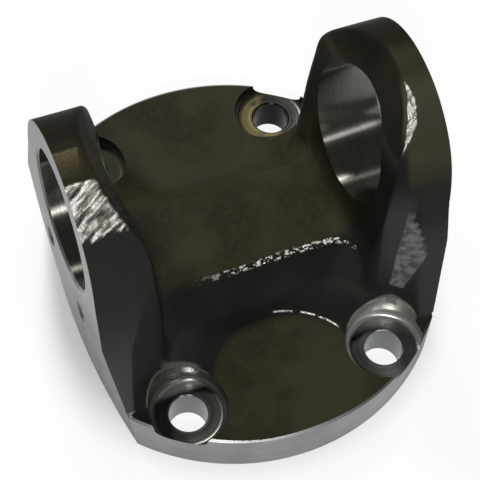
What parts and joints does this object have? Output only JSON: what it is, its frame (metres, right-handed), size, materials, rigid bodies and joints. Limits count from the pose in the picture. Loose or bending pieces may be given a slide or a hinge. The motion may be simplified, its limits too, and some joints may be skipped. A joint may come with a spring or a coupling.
{
  "type": "flange yoke",
  "caption": "Forged steel driveline flange yoke: twin bearing ears bridged by a saddle on a round bolted flange with bowed sides, spot-faced bolt seats and tapped retainer holes.",
  "frame": {"origin": "centre of the mounting face, on the flange's axis", "axes": "+Z out of the flange towards the ears; X along the bearing bores; Y across them"},
  "size_m": [0.123, 0.15, 0.106],
  "materials": {
    "forging": "dark oiled forging skin, with the bores, ear faces, rim and bolt seats machined bright"
  },
  "bodies": {
    "root": {"flange_yoke": "forging"}
  },
  "joints": []
}
